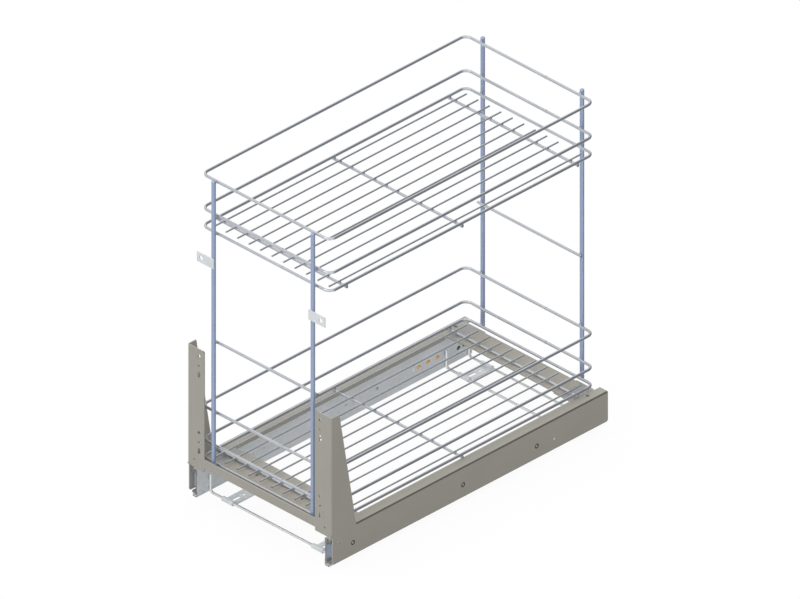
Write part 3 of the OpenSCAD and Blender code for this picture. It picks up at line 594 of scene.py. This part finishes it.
plateWeld = {
    "wireRadius": 0.002,
    "nugget": (0.0030, 0.0022, 0.0007),
    "nuggetRise": 0.0002,                        # over the underside of the cross wires
    "places": (-0.074, -0.022, 0.022, 0.074),
    "padNugget": (0.0034, 0.0026, 0.0013),       # between the cross wires' ends and the corner plates
    "padDrop": 0.0008,
    "padPlace": 0.1035,
    "stitchBead": 0.0009,
    "stitchLength": 0.009,
    "stitchPoints": 14,
    "stitchShares": (0.2, 0.5, 0.8),             # along the corner plates' outer edges
}


def makePlateWelds(s):
    shape = bmesh.new()
    crossLow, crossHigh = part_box("lower_cross_wires")
    for y in (crossLow[1] + s["wireRadius"], crossHigh[1] - s["wireRadius"]):
        for x in s["places"]:
            addNugget(shape, (x, y, crossLow[2] + s["nuggetRise"]), s["nugget"])
        for x in (-s["padPlace"], s["padPlace"]):
            addNugget(shape, (x, y, crossLow[2] - s["padDrop"]), s["padNugget"])
    half = s["stitchLength"] / 2
    for corner in corners:
        low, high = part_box("corner_plate_" + corner)
        seam = low[0] if corner.endswith("left") else high[0]
        for share in s["stitchShares"]:
            y = low[1] + (high[1] - low[1]) * share
            path = straight((seam, y - half, high[2]), (seam, y + half, high[2]), s["stitchPoints"])
            addBead(shape, path, s["stitchBead"])
    newPiece("plateWelds", shape, "pull_out", weldedCoat)


footWeld = {
    "wireRadius": 0.002,
    "bead": 0.0009,
    "beside": 0.0017,                                    # from the leg's middle
    "inward": 0.0004,                                    # from the web's face
    "points": 12,
    "stretches": ((0.0065, 0.0125), (0.0215, 0.0285)),   # heights between which a leg is welded to a web
}


def makeFootWelds(s):
    shape = bmesh.new()
    for pair in ("front", "rear"):
        low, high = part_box("foot_wires_" + pair)
        for x in (low[0] + s["inward"], high[0] - s["inward"]):
            for y in (low[1] + s["wireRadius"], high[1] - s["wireRadius"]):
                for across in (-s["beside"], s["beside"]):
                    for bottom, top in s["stretches"]:
                        path = straight((x, y + across, bottom), (x, y + across, top), s["points"])
                        addBead(shape, path, s["bead"])
    newPiece("footWelds", shape, "fixed_frame", weldZinc)


makeBasketWelds("lower", basketWeld)
makeBasketWelds("upper", basketWeld)
makeFrameWelds(frameWeld)
makePlateWelds(plateWeld)
makeFootWelds(footWeld)
print("welds made")


# Turned shapes, for pegs, pins and collars
def addTurned(shape, centre, profile, axis, count=28):
    # turns (along the axis, radius) steps about an axis through centre
    others = [k for k in range(3) if k != axis]
    rings = []
    for along, radius in profile:
        ring = []
        for n in range(count):
            a = 2 * math.pi * n / count
            point = Vector(centre)
            point[axis] += along
            point[others[0]] += radius * math.cos(a)
            point[others[1]] += radius * math.sin(a)
            ring.append(shape.verts.new(point))
        rings.append(ring)
    for one, two in zip(rings, rings[1:]):
        for n in range(count):
            shape.faces.new((one[n], one[(n + 1) % count], two[(n + 1) % count], two[n]))
    return rings


# Along a peg's domed end: how many crowns below the tip, and the share of the radius there
pegCrown = ((1.6, 1.0), (1.0, 0.94), (0.45, 0.78), (0.1, 0.45), (0.0, 0.12))


def addPeg(shape, centre, radius, length, crown, sign):
    # from its base at centre a peg stands out along X, to the side that sign gives
    steps = [(0.0, radius)] + [(length - crown * below, radius * share) for below, share in pegCrown]
    rings = addTurned(shape, centre, [(sign * along, r) for along, r in steps], 0)
    shape.faces.new(rings[0][::-1])
    shape.faces.new(rings[-1])
    bmesh.ops.recalc_face_normals(shape, faces=shape.faces[:])


# Cream peg in front of each damper, in the web's hole beside the ones that show amber
damperPegs = {
    "place": 0.1055,                            # from the rear of the rails
    "height": 0.0241,
    "radius": 0.0023,
    "flange": (0.0039, 0.0016),                 # radius and thickness of its flange behind the web
    "crown": 0.0003,                            # how far its face is domed
    "sink": 0.0007,                             # how far its face lies behind the web's
    "look": {"colour": (0.90, 0.87, 0.80), "shade": (0.84, 0.80, 0.72), "roughness": 0.4},
}


def makeDamperPegs(s):
    cream = makePlastic("creamPeg", s["look"])
    for side, sign in (("left", -1), ("right", 1)):
        webLow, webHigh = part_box("runner_fixed_" + side)
        low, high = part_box("damper_" + side)
        base = high[0] if sign < 0 else low[0]          # the web's far face
        face = webHigh[0] if sign < 0 else webLow[0]
        centre = (base, webHigh[1] - s["place"], s["height"])
        shape = bmesh.new()
        addPeg(shape, centre, s["radius"], abs(face - base) - s["sink"], s["crown"], -sign)
        addPeg(shape, centre, s["flange"][0], s["flange"][1], s["crown"], sign)
        newPiece("creamPeg" + side.capitalize(), shape, "fixed_frame", cream)


makeDamperPegs(damperPegs)
print("damper pegs made")


# Pressed collars under the cross plates' inner holes and the holes in the rails' flanges, near-black as
# painted shade inside the holes
collars = {
    "hole": 0.0025,
    "wall": 0.0007,
    "depth": 0.0017,
    # along the section: shares of the depth, and of the wall outside the hole
    "profile": ((0.0, 0.0), (-0.85, 0.0), (-1.0, 0.3), (-0.92, 0.8), (-0.3, 1.0), (0.0, 1.5)),
    "frontPlace": 0.0365,          # from the door face to the front plate's holes
    "rearPlace": 0.040,            # from the rear of the rails to the rear plate's holes
    "innerPlace": 0.041,           # from the middle
    "flangeHole": (0.011, 0.026),  # from the rail's outer face and from its rear end
    "flangeUnder": 0.0521,         # height of the flanges' undersides
    # near-black: painted shade inside the holes
    "look": {"colour": (0.10, 0.095, 0.085), "shade": (0.13, 0.125, 0.11), "roughness": 0.5},
}


def makeCollars(s):
    shape = bmesh.new()
    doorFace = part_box("front_cross_plate")[0][1]
    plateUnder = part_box("rear_cross_plate")[0][2]
    railLow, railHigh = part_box("side_rail_left")[0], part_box("side_rail_right")[1]
    places = [(x, y, plateUnder) for y in (doorFace + s["frontPlace"], railHigh[1] - s["rearPlace"])
              for x in (-s["innerPlace"], s["innerPlace"])]
    across, back = s["flangeHole"]
    places += [(x, railHigh[1] - back, s["flangeUnder"]) for x in (railLow[0] + across, railHigh[0] - across)]
    steps = [(s["depth"] * down, s["hole"] + s["wall"] * out) for down, out in s["profile"]]
    for place in places:
        addTurned(shape, place, steps, 2)
    bmesh.ops.recalc_face_normals(shape, faces=shape.faces[:])
    newPiece("plateCollars", shape, "pull_out", makePlastic("collarPaintedShade", s["look"]))


# Near-black ring in each rail screw's countersink: a painted shadow of the recess
screwShadowRings = {
    "radius": 0.0035,
    "thickness": 0.0005,
    "sink": 0.00052,
    "points": 28,
    "look": {"colour": (0.028, 0.027, 0.026), "shade": (0.04, 0.038, 0.036), "roughness": 0.55},
}


def makeScrewShadowRings(s):
    shape = bmesh.new()
    for side, sign in (("left", -1), ("right", 1)):
        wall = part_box("side_rail_" + side)[0 if sign < 0 else 1][0]
        height = middle("rail_screws_" + side)[2]
        for y in screwPlaces("rail_screws_" + side, screwSteel["apart"]):
            path = circleRound((wall - sign * s["sink"], y, height), s["radius"], s["points"], (1, 2))
            addBead(shape, path, s["thickness"], closed=True, ripple=0.0)
    newPiece("screwShadowRings", shape, "pull_out", makePlastic("shadowRingBlack", s["look"]))


# Nylon pin in the hole near the rear of each rail's wall
railPins = {
    "place": 0.097,                # from the rear of the rails
    "height": 0.0241,
    "radius": 0.00165,
    "base": 0.0015,                # from the wall's outer face in to the pin's base
    "length": 0.0013,
    "crown": 0.0003,
    "look": {"colour": (0.86, 0.86, 0.84), "shade": (0.80, 0.80, 0.78), "roughness": 0.35},
}


def makePins(s):
    shape = bmesh.new()
    for side, sign in (("left", -1), ("right", 1)):
        low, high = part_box("side_rail_" + side)
        base = (high[0] if sign > 0 else low[0]) - sign * s["base"]
        centre = (base, high[1] - s["place"], s["height"])
        addPeg(shape, centre, s["radius"], s["length"], s["crown"], sign)
    newPiece("railPins", shape, "pull_out", makePlastic("nylonPin", s["look"]))


makeCollars(collars)
makeScrewShadowRings(screwShadowRings)
makePins(railPins)
print("small fittings made")


# Studio: white all round, with darker sides for the plating to reflect
room = {
    "sideLight": 0.27,            # light from the horizon
    "overheadLight": 0.37,        # what the zenith adds to it
    "leftLight": 0.08,            # what the left side adds, and the right side lacks
    "darkSides": (
        {"towards": (0.5, 0.866, 0.0), "from": 0.35, "to": 0.68, "colour": (0.27, 0.275, 0.285)},
        {"towards": (-0.62, -0.78, 0.05), "from": 0.55, "to": 0.95, "colour": (0.745, 0.75, 0.76)},
    ),
}
floorSettings = {
    "bounce": 0.42,               # its colour as it lights the object
    "seen": 0.80,                 # its colour as the camera sees it
    "white": 0.92,                # how far the camera sees it lifted to plain white
    "size": 8.0,
    "roughness": 0.95,
}
keyLight = {
    "power": 24.0,
    "size": 2.4,
    "place": (-0.9, -2.7, 3.1),
    "target": (0, 0, 0.2),
}
fillAngle = 60                    # degrees
fillLight = {                     # soft fill without shadows, so that nothing inside goes black
    "front": {"from": (0, -1, 0.12), "strength": 1.05},
    "right": {"from": (1, 0, 0.12), "strength": 0.73},
    "left": {"from": (-1, 0, 0.12), "strength": 1.35},
    "rear": {"from": (0, 1, 0.12), "strength": 1.15},
    "top": {"from": (0, 0, 1), "strength": 1.38},
}


def mixedShaders(tree, factor, first, second):
    node = addNode(tree, "ShaderNodeMixShader")
    link(tree, factor, node.inputs["Fac"])
    link(tree, first, node.inputs[1])
    link(tree, second, node.inputs[2])
    return node.outputs[0]


def makeBackground(s):
    world = bpy.data.worlds.new("studioWorld")
    scene.world = world
    world.use_nodes = True
    tree = world.node_tree
    tree.nodes.clear()
    out = addNode(tree, "ShaderNodeOutputWorld")
    seen = addNode(tree, "ShaderNodeBackground")
    mirrored = addNode(tree, "ShaderNodeBackground")
    lit = addNode(tree, "ShaderNodeBackground")
    seen.inputs["Color"].default_value = (1, 1, 1, 1)
    lit.inputs["Color"].default_value = (1, 1, 1, 1)
    towards = addNode(tree, "ShaderNodeTexCoord").outputs["Generated"]
    height = axisOf(tree, towards, "Z")
    overhead = spread(tree, height, s["sideLight"], s["sideLight"] + s["overheadLight"], 0, 1)
    sideways = axisOf(tree, towards, "X")
    strength = worked(tree, "ShaderNodeMath", "MULTIPLY_ADD", sideways, -s["leftLight"], overhead)
    link(tree, strength, lit.inputs["Strength"])
    walls = addNode(tree, "ShaderNodeRGB").outputs["Color"]
    walls.default_value = (1, 1, 1, 1)
    for side in s["darkSides"]:
        facing = worked(tree, "ShaderNodeVectorMath", "DOT_PRODUCT", towards, side["towards"])
        walls = mixedOver(tree, spread(tree, facing, 0, 1, side["from"], side["to"]), walls, side["colour"])
    link(tree, walls, mirrored.inputs["Color"])
    path = addNode(tree, "ShaderNodeLightPath").outputs
    glossy = worked(tree, "ShaderNodeMath", "MAXIMUM", path["Is Glossy Ray"], path["Is Transmission Ray"])
    light = mixedShaders(tree, glossy, lit.outputs[0], mirrored.outputs[0])
    link(tree, mixedShaders(tree, path["Is Camera Ray"], light, seen.outputs[0]), out.inputs["Surface"])


def makeFloor(s):
    half = s["size"] / 2
    mesh = bpy.data.meshes.new("floor")
    ends = [(-half, -half, 0), (half, -half, 0), (half, half, 0), (-half, half, 0)]
    mesh.from_pydata(ends, [], [(0, 1, 2, 3)])
    floor = bpy.data.objects.new("floor", mesh)
    scene.collection.objects.link(floor)
    material, tree, shader = startMaterial("paleFloor")
    shader.inputs["Roughness"].default_value = s["roughness"]
    shader.inputs["Specular IOR Level"].default_value = 0.0
    white = addNode(tree, "ShaderNodeEmission")
    cameraRay = addNode(tree, "ShaderNodeLightPath").outputs["Is Camera Ray"]
    grey = twoColours(tree, cameraRay, (s["bounce"],) * 3, (s["seen"],) * 3)
    link(tree, grey, shader.inputs["Base Color"])
    share = worked(tree, "ShaderNodeMath", "MULTIPLY", cameraRay, s["white"])
    lifted = mixedShaders(tree, share, shader.outputs[0], white.outputs[0])
    link(tree, lifted, tree.nodes["Material Output"].inputs["Surface"])
    mesh.materials.append(material)
    floor.visible_glossy = False          # the plating mirrors the room and not the floor


def makeKeyLight(s):
    data = bpy.data.lights.new("keyLamp", "AREA")
    data.energy = s["power"]
    data.size = s["size"]
    lamp = bpy.data.objects.new("keyLamp", data)
    lamp.location = s["place"]
    lamp.rotation_euler = (Vector(s["place"]) - Vector(s["target"])).to_track_quat("Z", "Y").to_euler()
    scene.collection.objects.link(lamp)


def makeFill(name, s):
    data = bpy.data.lights.new(name, "SUN")
    data.energy = s["strength"]
    data.use_shadow = False
    data.angle = math.radians(fillAngle)
    lamp = bpy.data.objects.new(name, data)
    lamp.rotation_euler = Vector(s["from"]).to_track_quat("Z", "Y").to_euler()
    lamp.visible_glossy = False
    scene.collection.objects.link(lamp)


makeBackground(room)
makeFloor(floorSettings)
makeKeyLight(keyLight)
for fillName, fillSettings in fillLight.items():
    makeFill(fillName + "Fill", fillSettings)
scene.view_settings.view_transform = "Standard"
print("studio made")
